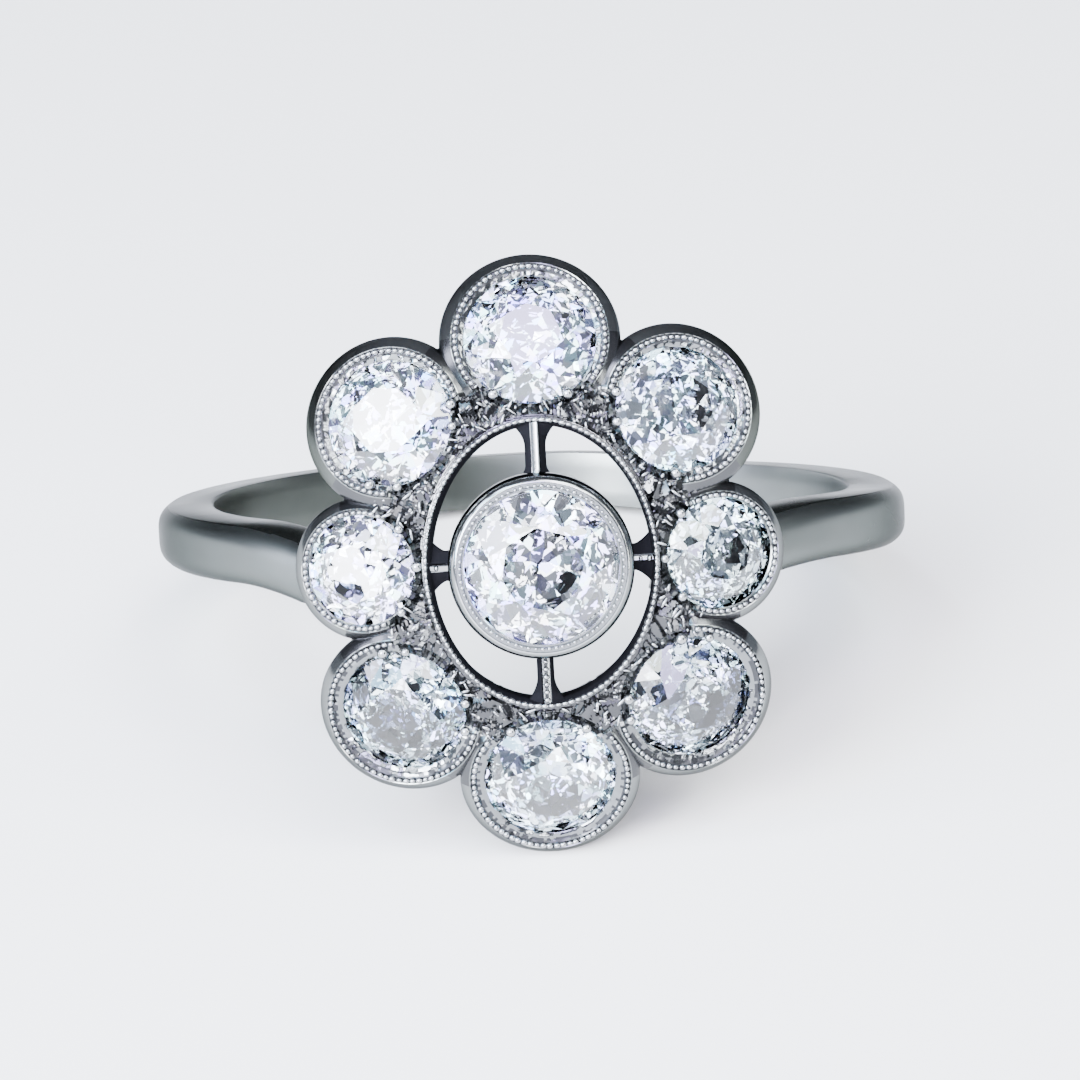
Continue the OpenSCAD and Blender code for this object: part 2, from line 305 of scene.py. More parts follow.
# Petal collets
# Eight round collets soldered side by side on a dome, each turned with a bevelled rim.
# The rim has a milled edge, and a bright slope cut down to the stone inside it.
CREST_H = 11.8
DOME_R = 14.75
DOME_MID_H = CREST_H - DOME_R
BASE_H = 8.8
FOOT_STEP = 0.015
TRIM_STEPS = 40
TRIM_LEAST = 0.002
RIM_RISE = 0.10
BEVEL_W = 0.24
TOP_BEVEL_W = 0.30
BEVEL_DROP = 0.26
GIRDLE_DROP = RIM_RISE / 2 + 0.06
LIP_SEEN = 0.03
SEAT_CLEAR = 0.03
HOLE_SHARE = 0.5
CUT_JITTER = 0.026
COLLET_DEPTH = 2.3
SIDE_COLLET_DEPTH = 1.4 * COLLET_DEPTH
COLLET_TAPER = 0.4
PAVILION_DEG = 41.0
GIRDLE_T = 0.08
COLLET_STEPS = 144
MILLED_PAST_DEG = 11.0
SINK_DEG = 7.0
SINK_DEPTH = 0.24
# how far from the end of the milled edge the V between rims gets painted shade
DARK_V_DEG = 42.0
GALLERY_W = 5.6
GALLERY_L = 7.0
COLLET_CLEAR = 0.16
# painted shade in the milled groove beside a bevel: the widths of the dark band, and its edge off the
# bevel
GROOVE_SHADE_WIDTHS = (0.16, 0.21)
SIDE_GROOVE_SHADE_W = 0.13
GROOVE_EDGE = 0.012
BEVEL_EDGE = 0.02
SLOPE_IN = 0.15
SLOPE_MOST = 0.19
SLOPE_LEAST = 0.02
SLOPE_OFF = 0.11
RIM_SEEN_DEPTH = 0.3
SLOPE_SEEN_DEPTH = 0.12
JITTER_DEPTH = 0.09
HAIR = 0.01
METAL_TONE = (0.20, 0.21, 0.207, 1.0)
DARK_TONE = (0.08, 0.081, 0.084, 1.0)
BRIGHT_CUT_TONE = (0.20, 0.21, 0.215, 1.0)
SHADED_TONE = (0.06, 0.061, 0.066, 1.0)
# petal: name, angle round the head, reach from its middle, stone diameter, rim width
PETALS = (
    ("right", 0.0, 4.39, 2.80, 0.36),
    ("upper_right", 45.3, 5.03, 3.15, 0.58),
    ("top", 90.0, 5.45, 3.30, 0.58),
    ("upper_left", 134.7, 5.03, 3.15, 0.58),
    ("left", 180.0, 4.39, 2.80, 0.36),
    ("lower_left", 225.3, 5.03, 3.15, 0.58),
    ("bottom", 270.0, 5.45, 3.30, 0.58),
    ("lower_right", 314.7, 5.03, 3.15, 0.58),
)

POLISHED = metal_material("polished_platinum", METAL_TONE, extra_rough=0.0, bump=0.25, edge=0.35)
BRIGHT_CUT = metal_material("bright_cut_platinum", BRIGHT_CUT_TONE, extra_rough=-0.02, bump=0.5, edge=0.5)
# painted shade: a dark metal for the engraved plate and the V between neighbouring rims
RECESS_SHADE = metal_material("recess_shade_platinum", DARK_TONE, extra_rough=0.05, bump=0.8)
# painted shade: a near-black metal for the milled grooves and the tops of the hollows
SHADED = metal_material("painted_shade_platinum", SHADED_TONE, extra_rough=0.15, bump=0.6, edge=0.12)
# painted shade: the rims at the upper left and upper right are darkened on their outer side
LEFT_RIM = metal_material("left_rim_platinum_painted_shade", METAL_TONE, extra_rough=0.0, bump=0.25, edge=0.35)
shade_across(LEFT_RIM, PAINTED_SHADE_TONE, start=-0.0053, end=-0.0040)
RIGHT_RIM = metal_material("right_rim_platinum_painted_shade", METAL_TONE, extra_rough=0.0, bump=0.25, edge=0.35)
shade_across(RIGHT_RIM, PAINTED_SHADE_TONE, start=0.0051, end=0.0038)


def on_side(petal):
    """The two petals over the shank's shoulders, which have thinner rims and deeper collets."""
    return petal[0] in ("left", "right")


def bevel_of(petal):
    """Width of a rim's bevel: the three upper rims are filed wider than the rest."""
    return TOP_BEVEL_W if petal[0] in ("upper_left", "top", "upper_right") else BEVEL_W


def petal_place(petal):
    """Stands things made at a petal's middle, on the dome, in the head's axes."""
    _, deg, reach, _, _ = petal
    lean = math.asin(reach / DOME_R)
    return (
        Matrix.Translation((0.0, 0.0, DOME_MID_H))
        @ Matrix.Rotation(math.radians(deg), 4, "Z")
        @ Matrix.Rotation(lean, 4, "Y")
        @ Matrix.Translation((0.0, 0.0, DOME_R))
    )


def petal_plan(petal):
    _, deg, reach, _, _ = petal
    return Vector((reach * math.cos(math.radians(deg)), reach * math.sin(math.radians(deg))))


def milled_span(index):
    """Where a petal's milled edge ends, in degrees from its outward line: clockwise, anticlockwise."""
    here = petal_plan(PETALS[index])
    ends = []
    for step in (-1, 1):
        to = petal_plan(PETALS[(index + step) % len(PETALS)]) - here
        ends.append(math.degrees(abs(here.angle_signed(to))) + MILLED_PAST_DEG)
    return ends


def milled_end(span, turn_deg):
    """Where the milled edge ends on that side of the outward line."""
    clockwise, anticlockwise = span
    return anticlockwise if turn_deg >= 0 else clockwise


def lathe(bm, profile, steps):
    """Turns a closed profile of (radius, height) points about the Z axis."""
    ring = [bm.verts.new((r, 0.0, z)) for r, z in profile]
    edges = [bm.edges.new((ring[k], ring[(k + 1) % len(ring)])) for k in range(len(ring))]
    bmesh.ops.spin(
        bm,
        geom=ring + edges,
        cent=(0.0, 0.0, 0.0),
        axis=(0.0, 0.0, 1.0),
        angle=2 * math.pi,
        steps=steps,
        use_merge=True,
    )


def collet_profile(rim, stone_r, depth, slope_out, bevel_w):
    """From the foot up the outside, over the bevel, groove and slope, and down past the seat."""
    hole = stone_r * HOLE_SHARE
    seat_z = -GIRDLE_DROP - GIRDLE_T - SEAT_CLEAR
    hole_z = seat_z - (stone_r - hole) * math.tan(math.radians(PAVILION_DEG)) - SEAT_CLEAR
    return [
        (hole, -depth),
        (rim - COLLET_TAPER, -depth),
        (rim - 0.04, -0.60),
        (rim - 0.005, -0.34),
        (rim, RIM_RISE - BEVEL_DROP),
        (rim - 0.012, RIM_RISE - BEVEL_DROP + 0.025),
        (rim - 0.11, RIM_RISE - 0.13),
        (rim - bevel_w + 0.03, RIM_RISE - 0.035),
        (rim - bevel_w + 0.01, RIM_RISE - 0.02),
        (rim - bevel_w - 0.01, RIM_RISE - 0.03),
        (rim - bevel_w - 0.03, RIM_RISE - 0.07),
        (rim - bevel_w - 0.13, RIM_RISE - 0.07),
        (rim - bevel_w - 0.165, RIM_RISE - 0.10),
        (stone_r + 0.5 * slope_out, RIM_RISE - 0.115),
        (stone_r, RIM_RISE - 0.14),
        (stone_r - LIP_SEEN, RIM_RISE - 0.165),
        (stone_r - LIP_SEEN, LIP_SEEN - GIRDLE_DROP + HAIR),
        (stone_r + SEAT_CLEAR, -GIRDLE_DROP + SEAT_CLEAR),
        (stone_r + SEAT_CLEAR, seat_z),
        (hole, hole_z),
    ]


def oval_at(turn, w, l):
    """Distance from the middle to an oval of that width and height, along a line at that turn."""
    c, s = math.cos(turn) * 2 / w, math.sin(turn) * 2 / l
    return 1 / math.hypot(c, s)


def trimmed(place, verts, over_finger, base_h):
    """Brings a foot up along its own axis until it clears the finger or meets the flat base."""
    up = (place.to_3x3() @ Vector((0.0, 0.0, 1.0))).normalized()
    for v in verts:
        p = v.co
        if over_finger:
            for _ in range(TRIM_STEPS):
                off = math.hypot(p.x, p.z) - FINGER_R
                if off >= 0:
                    break
                p = p + up * max(-off, TRIM_LEAST)
        elif p.z < base_h:
            p = p + up * ((base_h - p.z) / up.z)
        turn, out = math.atan2(p.y, p.x), math.hypot(p.x, p.y)
        clear = oval_at(turn, GALLERY_W + COLLET_CLEAR, GALLERY_L + COLLET_CLEAR)
        if out < clear:
            p = Vector((p.x * clear / out, p.y * clear / out, p.z))
        v.co = p


def collet_finish(petal, mid, span, groove_shade_w):
    """The finish of one face of a petal's collet, by where its middle lies. The groove, the V between rims
    and the outer side of the upper rims get painted shade.
    """
    out = math.hypot(mid.x, mid.y)
    turn = math.degrees(math.atan2(mid.y, mid.x))
    end = milled_end(span, turn)
    bevel_in = petal[3] / 2 + petal[4] - bevel_of(petal)
    on_bevel = out > bevel_in + BEVEL_EDGE
    near_top = mid.z > -RIM_SEEN_DEPTH
    if near_top and bevel_in - groove_shade_w < out < bevel_in - GROOVE_EDGE and abs(turn) < end:
        return SHADED
    if near_top and on_bevel and abs(turn) > end - DARK_V_DEG:
        return RECESS_SHADE
    if mid.z > -SLOPE_SEEN_DEPTH and out < bevel_in - SLOPE_IN:
        return BRIGHT_CUT
    if on_bevel and petal[0] == "upper_left":
        return LEFT_RIM
    if on_bevel and petal[0] == "upper_right":
        return RIGHT_RIM
    return POLISHED


def wear_rim(bm, petal, span, luck):
    """Leaves tool marks in the bright slope, and sinks the rim beside the neighbouring collets."""
    stone_r = petal[3] / 2
    slope_edge = stone_r + petal[4] - bevel_of(petal) - SLOPE_IN
    for v in bm.verts:
        out = math.hypot(v.co.x, v.co.y)
        if v.co.z > -JITTER_DEPTH and stone_r - HAIR < out < slope_edge:
            v.co.z += luck.uniform(-CUT_JITTER, CUT_JITTER)
        if v.co.z > -GIRDLE_DROP - HAIR and out > stone_r + HAIR:
            turn = math.degrees(math.atan2(v.co.y, v.co.x))
            share = min(max((abs(turn) - milled_end(span, turn)) / SINK_DEG, 0.0), 1.0)
            v.co.z -= SINK_DEPTH * share * share * (3 - 2 * share)


def make_collets():
    finishes = (POLISHED, SHADED, RECESS_SHADE, BRIGHT_CUT, LEFT_RIM, RIGHT_RIM)
    luck = random.Random(5)
    bm = bmesh.new()
    for index, petal in enumerate(PETALS):
        name, _, _, stone_d, wall = petal
        bevel_w = bevel_of(petal)
        slope_out = max(min(SLOPE_MOST, wall - bevel_w - SLOPE_OFF), SLOPE_LEAST)
        depth = SIDE_COLLET_DEPTH if on_side(petal) else COLLET_DEPTH
        one = bmesh.new()
        profile = collet_profile(stone_d / 2 + wall, stone_d / 2, depth, slope_out, bevel_w)
        lathe(one, profile, COLLET_STEPS)
        span = milled_span(index)
        for face in one.faces:
            groove_shade_w = SIDE_GROOVE_SHADE_W if on_side(petal) else luck.choice(GROOVE_SHADE_WIDTHS)
            finish = collet_finish(petal, face.calc_center_median(), span, groove_shade_w)
            face.material_index = finishes.index(finish)
        wear_rim(one, petal, span, luck)
        place = petal_place(petal)
        bmesh.ops.transform(one, matrix=place, verts=one.verts)
        trimmed(place, one.verts, on_side(petal), BASE_H + FOOT_STEP * (index % 4))
        bmesh.ops.recalc_face_normals(one, faces=one.faces)
        held = bpy.data.meshes.new(name)
        one.to_mesh(held)
        one.free()
        bm.from_mesh(held)
        bpy.data.meshes.remove(held)
    finish_piece("petal_collets", bm, HEAD, finishes, 32.0)


make_collets()

# Hollows between the petals
# Solder and filed metal rounds off each hollow between two collets down the outside.
# It is lower than the rims, and its top is painted in shade, so it reads as a dark corner from the front.
HOLLOW_R = 0.2
HOLLOW_SINK = 0.34
HOLLOW_SLOPE = 0.7
HOLLOW_IN = 0.30
HOLLOW_LEVELS = (0.24, 0.45, 0.8, 1.4, 2.6)
HOLLOW_OVER = 0.02
HOLLOW_HALF = 0.16
ARC_STEPS = 12
UP_FACING = 0.3
WALL_TURN_DEPTH = 0.60
WALL_IN = 0.04


def outer_meet(p, pr, q, qr):
    """Meeting point, on the outer side, of two circles about p and q."""
    d = (q - p).length
    e = (q - p) / d
    along = (d * d + pr * pr - qr * qr) / (2 * d)
    return p + e * along + Vector((e.y, -e.x)) * math.sqrt(pr * pr - along * along)


def petal_axis(petal):
    return (petal_place(petal).to_3x3() @ Vector((0.0, 0.0, 1.0))).normalized()


def wall_radius(petal, depth):
    """Outer radius of a petal's collet at that depth below the dome."""
    rim = petal[3] / 2 + petal[4]
    foot = SIDE_COLLET_DEPTH if on_side(petal) else COLLET_DEPTH
    share = min(max((depth - WALL_TURN_DEPTH) / (foot - WALL_TURN_DEPTH), 0.0), 1.0)
    return rim - WALL_IN - (COLLET_TAPER - WALL_IN) * share


def make_hollows():
    finishes = (POLISHED, SHADED)
    bm = bmesh.new()
    for index, petal in enumerate(PETALS):
        after = PETALS[(index + 1) % len(PETALS)]
        a, b = petal_axis(petal), petal_axis(after)
        up, across = (a + b).normalized(), (b - a).normalized()
        inward = up.cross(across)
        half = a.angle(up)
        count = ARC_STEPS + 3

        def point(s, t):
            level = HOLLOW_LEVELS[round(s * (len(HOLLOW_LEVELS) - 1))]
            reach = DOME_R - level
            p, q = Vector((-reach * math.sin(half), 0.0)), Vector((reach * math.sin(half), 0.0))
            p_reach = wall_radius(petal, level) + HOLLOW_R
            q_reach = wall_radius(after, level) + HOLLOW_R
            f = outer_meet(p, p_reach, q, q_reach)
            start = p - f
            sweep = start.angle_signed(q - f)
            k = round(t * count) % count
            if k <= ARC_STEPS:
                arm = (Matrix.Rotation(-sweep * k / ARC_STEPS, 2) @ start).normalized()
                flat = f + arm * (HOLLOW_R + HOLLOW_OVER)
            else:
                middle = f + (p.lerp(q, 0.5) - f).normalized() * (HOLLOW_R + HOLLOW_IN)
                flat = middle + Vector((HOLLOW_HALF if k == ARC_STEPS + 1 else -HOLLOW_HALF, 0.0))
            height = reach * math.cos(half)
            if level == HOLLOW_LEVELS[0]:
                height += HOLLOW_SLOPE * min((flat - f).length - HOLLOW_R, HOLLOW_IN) - HOLLOW_SINK + level
            spot = Vector((0.0, 0.0, DOME_MID_H)) + across * flat.x + inward * flat.y + up * height
            floor_h = BASE_H + 5 * FOOT_STEP
            if spot.z < floor_h:
                spot += up * ((floor_h - spot.z) / up.z)
            return spot

        one = sheet_grid(bm, len(HOLLOW_LEVELS) - 1, count, point)
        bmesh.ops.remove_doubles(bm, verts=one, dist=1e-5)
    bmesh.ops.holes_fill(bm, edges=[e for e in bm.edges if e.is_boundary], sides=0)
    bmesh.ops.recalc_face_normals(bm, faces=bm.faces)
    # the top caps get painted shade
    for face in bm.faces:
        if len(face.verts) > 4 and face.normal.z > UP_FACING:
            face.material_index = finishes.index(SHADED)
    finish_piece("petal_hollows", bm, HEAD, finishes, 40.0)


make_hollows()

# Plate
# A domed plate joins the collets on their inner side, and is pierced by an oval opening.
# Its surface is cut by graver in short strokes that fan out from each stone.
PLATE_RISE = 0.14
PLATE_T = 0.12
PLATE_LIMIT_W = 8.55
PLATE_LIMIT_L = 9.95
PLATE_COLUMNS = 900
PLATE_ROWS = 26
CUT_LONG = 0.55
CUT_WIDE = 0.13
CUT_DEPTH = 0.085
CUT_DROP = 0.05
# how a cut slopes along and across its stroke, and how much it is lifted or sunk
CUT_SLOPES = (2.0, 3.2)
CUT_LIFT = 0.7
CUT_LIFT_MID = 0.75
STONES_APART = 5.0
CUT_SEED = 7.31
# the plain border of the opening, and the step that sets it off from the cuts
BORDER_GAP = 0.03
BORDER_W = 0.08
BORDER_STEP_W = 0.13
BORDER_STEP = 0.09
# the plate dips beside a stone, and ends a little way under it
DIP_W = 0.2
DIP_SLOPE = 0.95
UNDER_STONE = 0.02
EDGE_TRIES = 60
EDGE_HALVINGS = 12


def dome_point(turn, out, rise):
    """A point on the dome over plan distance out, lifted by rise."""
    r = DOME_R + rise
    return Vector((out * math.cos(turn), out * math.sin(turn), DOME_MID_H + math.sqrt(r * r - out * out)))


PETAL_AXES = [(petal_axis(petal), petal[3] / 2) for petal in PETALS]


def past_stone(point):
    """How far a point on the dome is outside the nearest stone's girdle."""
    arm = point - Vector((0.0, 0.0, DOME_MID_H))
    return min(arm.cross(axis).length - radius for axis, radius in PETAL_AXES)


def plate_edge(turn):
    """Plan distance from the middle to where the plate stops: at a stone, or between two."""
    low = oval_at(turn, GALLERY_W, GALLERY_L)
    high = oval_at(turn, PLATE_LIMIT_W, PLATE_LIMIT_L)
    for k in range(EDGE_TRIES + 1):
        out = low + (high - low) * k / EDGE_TRIES
        if past_stone(dome_point(turn, out, 0.0)) < -UNDER_STONE:
            near, far = low + (high - low) * max(k - 1, 0) / EDGE_TRIES, out
            for _ in range(EDGE_HALVINGS):
                mid = (near + far) / 2
                if past_stone(dome_point(turn, mid, 0.0)) < -UNDER_STONE:
                    far = mid
                else:
                    near = mid
            return near
    return high


def cut_height(point):
    """Facets left by the graver: strokes that fan out from the nearest stone, each its own slope."""
    arm = point - Vector((0.0, 0.0, DOME_MID_H))
    offs = [arm.cross(axis).length - radius for axis, radius in PETAL_AXES]
    away = min(offs)
    near = offs.index(away)
    axis, radius = PETAL_AXES[near]
    flat = arm - axis * arm.dot(axis)
    bearing = math.atan2(flat.dot(axis.orthogonal()), flat.dot(axis.cross(axis.orthogonal())))
    spot = Vector((away / CUT_LONG, bearing * radius / CUT_WIDE, near * STONES_APART))
    _, cells = noise.voronoi(spot)
    tilt = noise.cell_vector(cells[0] * CUT_SEED)
    off = spot - cells[0]
    along, across = (tilt.x - 0.5) * CUT_SLOPES[0] * off.x, (tilt.y - 0.5) * CUT_SLOPES[1] * off.y
    return CUT_DEPTH * (along + across + CUT_LIFT * (tilt.z - CUT_LIFT_MID))


def make_plate():
    bm = bmesh.new()
    edges = [plate_edge(2 * math.pi * k / PLATE_COLUMNS) for k in range(PLATE_COLUMNS)]

    def point(s, t):
        k = round(s * PLATE_COLUMNS) % PLATE_COLUMNS
        turn = 2 * math.pi * k / PLATE_COLUMNS
        low = oval_at(turn, GALLERY_W, GALLERY_L) + BORDER_GAP
        out = low + (edges[k] - low) * t
        spot = dome_point(turn, out, 0.0)
        rise = PLATE_RISE
        from_rim = out - low
        if from_rim > BORDER_STEP_W:
            rise += cut_height(spot) - CUT_DROP
        elif from_rim > BORDER_W:
            rise -= BORDER_STEP
        beside = past_stone(spot)
        if beside < DIP_W:
            rise -= (DIP_W - max(beside, -UNDER_STONE)) * DIP_SLOPE
        return dome_point(turn, out, rise)

    sheet_grid(bm, PLATE_COLUMNS, PLATE_ROWS, point)
    bmesh.ops.remove_doubles(bm, verts=bm.verts, dist=1e-5)
    bmesh.ops.recalc_face_normals(bm, faces=bm.faces)
    bmesh.ops.solidify(bm, geom=bm.faces[:] + bm.edges[:] + bm.verts[:], thickness=PLATE_T)
    # the plate is painted dark as shade in its recess
    finish_piece("engraved_plate", bm, HEAD, (RECESS_SHADE,), 18.0)


make_plate()

# Gallery wall
# A thin wall bent to an oval lines the opening and is soldered under the plate's edge.
# Its lip is polished and coloured lighter as a painted highlight, and its inner side, which leans in under
# the lip, is painted near-black as shade.
LEAN_MOST_DEG = 135.0
LEAN_MID = 0.68
LEAN_SWING = 0.32
WALL_STEPS = 240
# pairs: distance out from the oval of the opening, height over the dome
WALL_SECTION = (
    (0.10, 0.12),
    (0.01, 0.12),
    (-0.03, 0.09),
    (-0.06, 0.02),
    (-0.15, -0.20),
    (-0.17, -0.36),
    (-0.13, -0.55),
    (-0.02, -0.90),
    (0.0, -1.30),
    (0.02, -1.58),
    (0.10, -1.58),
    (0.16, -1.40),
    (0.16, -0.30),
)
LIP_OVER = 0.08
FOOT_DEPTH = 1.4
DOWN_FACING = 0.5
OUT_FACING = 0.3
HIGHLIGHT_TONE = (0.38, 0.39, 0.40, 1.0)
SATIN_TONE = (0.192, 0.207, 0.203, 1.0)
SHADE_BLACK_TONE = (0.009, 0.009, 0.011, 1.0)
# painted highlight: a lighter tone of the same metal for beads, lips, ridges, chips, studs and the centre
# collet
HIGHLIT = metal_material("painted_highlight_platinum", HIGHLIGHT_TONE, extra_rough=0.02, bump=0.3, edge=0.6)
SATIN = metal_material("satin_platinum", SATIN_TONE, extra_rough=0.20, bump=0.4, edge=0.35)
# painted shade: black without sheen, for the inside of the opening and the sides of the bars
SHADE_BLACK = metal_material("shade_black_platinum", SHADE_BLACK_TONE, extra_rough=0.45, bump=0.6, edge=0.05)
SHADE_BLACK.node_tree.nodes["Principled BSDF"].inputs["Metallic"].default_value = 0.0
SHADE_BLACK.node_tree.nodes["Principled BSDF"].inputs["Specular IOR Level"].default_value = 0.0


def wall_finish(face):
    """The finish of one face of the gallery wall: lip in a painted highlight tone, satin outside, inside
    painted near-black as shade.
    """
    mid = face.calc_center_median()
    outward = Vector((mid.x, mid.y, 0.0)).normalized()
    below = DOME_MID_H + math.sqrt(DOME_R**2 - mid.x**2 - mid.y**2) - mid.z
    if below < -LIP_OVER:
        return HIGHLIT
    under = below > FOOT_DEPTH and face.normal.z < -DOWN_FACING
    return SATIN if under or face.normal.dot(outward) > OUT_FACING else SHADE_BLACK


def make_gallery_wall():
    finishes = (SHADE_BLACK, SATIN, HIGHLIT)
    count = len(WALL_SECTION)
    bm = bmesh.new()

    def point(s, t):
        turn = 2 * math.pi * s
        off, rise = WALL_SECTION[round(t * count) % count]
        if off < 0:
            off *= LEAN_MID + LEAN_SWING * math.cos(turn - math.radians(LEAN_MOST_DEG))
        out = oval_at(turn, GALLERY_W + 2 * off, GALLERY_L + 2 * off)
        return dome_point(turn, out, rise)

    sheet_grid(bm, WALL_STEPS, count, point)
    bmesh.ops.remove_doubles(bm, verts=bm.verts, dist=1e-5)
    bmesh.ops.recalc_face_normals(bm, faces=bm.faces)
    for face in bm.faces:
        face.material_index = finishes.index(wall_finish(face))
    finish_piece("gallery_wall", bm, HEAD, finishes, 40.0)


make_gallery_wall()

# Centre collet
# A taller round collet that lifts the ninth stone above the petals, turned from one piece.
# It stands free in the oval opening, on four bars.
CENTRE_RIM_H = 12.4
CENTRE_STONE_R = 1.95
CENTRE_R = 2.28
CENTRE_COLLET_H = 2.6
CENTRE_STEPS = 160
LIP_W = 0.07


def make_centre_collet():
    # the centre collet's faces that are neither satin nor polished get the painted highlight tone
    finishes = (HIGHLIT, SATIN, POLISHED)
    bm = bmesh.new()
    rim, stone = CENTRE_R, CENTRE_STONE_R
    hole = stone * HOLE_SHARE
    seat_z = -GIRDLE_DROP - GIRDLE_T - SEAT_CLEAR
    profile = [
        (hole, -CENTRE_COLLET_H),
        (rim - COLLET_TAPER, -CENTRE_COLLET_H),
        (rim - 0.03, -0.75),
        (rim, -0.38),
        (rim - 0.01, -0.20),
        (rim - 0.05, -0.06),
        (rim - 0.10, 0.02),
        (rim - 0.15, 0.065),
        (rim - 0.19, 0.08),
        (rim - 0.205, 0.05),
        (rim - 0.30, 0.05),
        (rim - 0.33, 0.0),
        (stone - 0.04, 0.0),
        (stone - LIP_W, -0.03),
        (stone - LIP_W, LIP_W - GIRDLE_DROP + HAIR),
        (stone + SEAT_CLEAR, -GIRDLE_DROP + SEAT_CLEAR),
        (stone + SEAT_CLEAR, seat_z),
        (hole, seat_z - (stone - hole) * math.tan(math.radians(PAVILION_DEG)) - SEAT_CLEAR),
    ]
    lathe(bm, profile, CENTRE_STEPS)
    for face in bm.faces:
        mid = face.calc_center_median()
        out = math.hypot(mid.x, mid.y)
        if stone - 0.045 < out < rim - 0.2 and mid.z > -0.06:
            face.material_index = finishes.index(SATIN)
        elif out > rim - 0.17 and mid.z < 0.075:
            face.material_index = finishes.index(POLISHED)
    place = HEAD @ Matrix.Translation((0.0, 0.0, CENTRE_RIM_H - RIM_RISE))
    finish_piece("centre_collet", bm, place, finishes, 32.0)


make_centre_collet()

# Bars
# Four knife-edge bars soldered between the centre collet and the wall of the opening.
# Each widens where it meets the wall, and has a narrow ridge coloured lighter as a painted highlight,
# between sides painted near-black as shade.
# bar: name, turn, width, ridge width
BARS = (
    ("right", 0.0, 0.58, 0.16),
    ("top", 90.0, 0.52, 0.20),
    ("left", 180.0, 0.66, 0.18),
    ("bottom", 270.0, 0.42, 0.20),
)
BAR_H = 0.55
BAR_RIDGE_DROP = 0.32
BAR_FLARE = 1.9
BAR_FLARE_L = 0.72
COLLET_FLARE = 0.35
COLLET_FLARE_L = 0.22
BAR_IN_COLLET = 0.12
BAR_IN_WALL = 0.06
BAR_STEPS = 28
RIDGE_TIP = 0.03
MID_BAR = 4.0


def bar_turn(bar):
    return Matrix.Rotation(math.radians(bar[1]), 3, "Z")


def make_bars():
    finishes = (HIGHLIT, SHADE_BLACK)
    bm = bmesh.new()
    for bar in BARS:
        _, deg, width, ridge = bar
        near = CENTRE_R - BAR_IN_COLLET
        far = oval_at(math.radians(deg), GALLERY_W, GALLERY_L) + BAR_IN_WALL
        half, top = width / 2, ridge / 2
        section = (
            (half * 0.9, 0.0),
            (half, BAR_H * 0.25),
            (half * 0.93, BAR_H * 0.5),
            (top * 1.15, BAR_H * 0.86),
            (top * 0.9, BAR_H * 0.95 - RIDGE_TIP),
            (top * 0.45, BAR_H - RIDGE_TIP),
            (-top * 0.45, BAR_H),
            (-top * 0.9, BAR_H * 0.95),
            (-top * 1.15, BAR_H * 0.86),
            (-half * 0.93, BAR_H * 0.5),
            (-half, BAR_H * 0.25),
            (-half * 0.9, 0.0),
        )
        count = len(section)

        def point(s, t):
            across, up = section[round(t * count) % count]
            along = near + (far - near) * s
            to_wall = max(0.0, 1 - (far - along) / BAR_FLARE_L)
            to_collet = max(0.0, 1 - (along - near) / COLLET_FLARE_L)
            flare = 1 + BAR_FLARE * to_wall**2 + COLLET_FLARE * to_collet**2
            if up > 0.8 * BAR_H:
                flare = 1
            return bar_turn(bar) @ Vector((along, across * flare, CREST_H - BAR_RIDGE_DROP - BAR_H + up))

        one = sheet_grid(bm, BAR_STEPS, count, point)
        bmesh.ops.remove_doubles(bm, verts=one, dist=1e-5)
    bmesh.ops.holes_fill(bm, edges=[e for e in bm.edges if e.is_boundary], sides=0)
    for face in bm.faces:
        mid = face.calc_center_median()
        near_bar = min(BARS, key=lambda bar: (bar_turn(bar) @ Vector((MID_BAR, 0.0, 0.0)) - mid).length)
        flat = bar_turn(near_bar).inverted() @ mid
        in_middle = abs(flat.y) < 0.6 * near_bar[3]
        on_top = mid.z > CREST_H - BAR_RIDGE_DROP - 0.15 * BAR_H
        # painted highlight on the ridge top, painted shade on the rest
        face.material_index = finishes.index(HIGHLIT if in_middle and on_top else SHADE_BLACK)
    finish_piece("bars", bm, HEAD, finishes, 35.0)


make_bars()

# Milled edges
# Rows of tiny beads rolled into each rim and into the edge of the opening with a knurled wheel.
# They are slightly uneven and worn down, as hand-rolled work is.
BEAD_PITCH = 0.166
BEAD_ALONG = 0.088
BEAD_ACROSS = 0.07
BEAD_RISE = 0.075
CENTRE_BEAD_PITCH = 0.166
CENTRE_BEAD_SIZE = 0.68
GALLERY_BEAD_SIZE = 0.92
GALLERY_BEAD_LONGER = 1.22
BAR_BEAD_SIZE = 0.95
BAR_BEADS = {"bottom": 6, "right": 2, "left": 1}
BEAD_LUCK = (0.78, 1.12)
PITCH_LUCK = 0.1
BEAD_IN = 0.085
BEAD_SUNK = 0.015
CENTRE_BEAD_IN = 0.285
CENTRE_BEAD_UP = 0.075
GALLERY_BEAD_OUT = 0.05
GALLERY_BEAD_UP = 0.12
BAR_BEAD_UP = 0.02


def ball_mesh(name, around, down):
    """A unit ball, kept as a mesh to stamp many times."""
    ball = bmesh.new()
    bmesh.ops.create_uvsphere(ball, u_segments=around, v_segments=down, radius=1.0)
    held = bpy.data.meshes.new(name)
    ball.to_mesh(held)
    ball.free()
    return held


def stamp(bm, shape, place):
    """Adds one more copy of a kept mesh, moved by place."""
    one = shape.copy()
    one.transform(place)
    bm.from_mesh(one)
    bpy.data.meshes.remove(one)


BEAD = ball_mesh("bead", 10, 6)


def add_bead(bm, place, size, luck, longer=1.0):
    grow = size * luck.uniform(*BEAD_LUCK)
    along = BEAD_ALONG * grow * longer
    stamp(bm, BEAD, place @ Matrix.Diagonal((BEAD_ACROSS * grow, along, BEAD_RISE * grow, 1.0)))


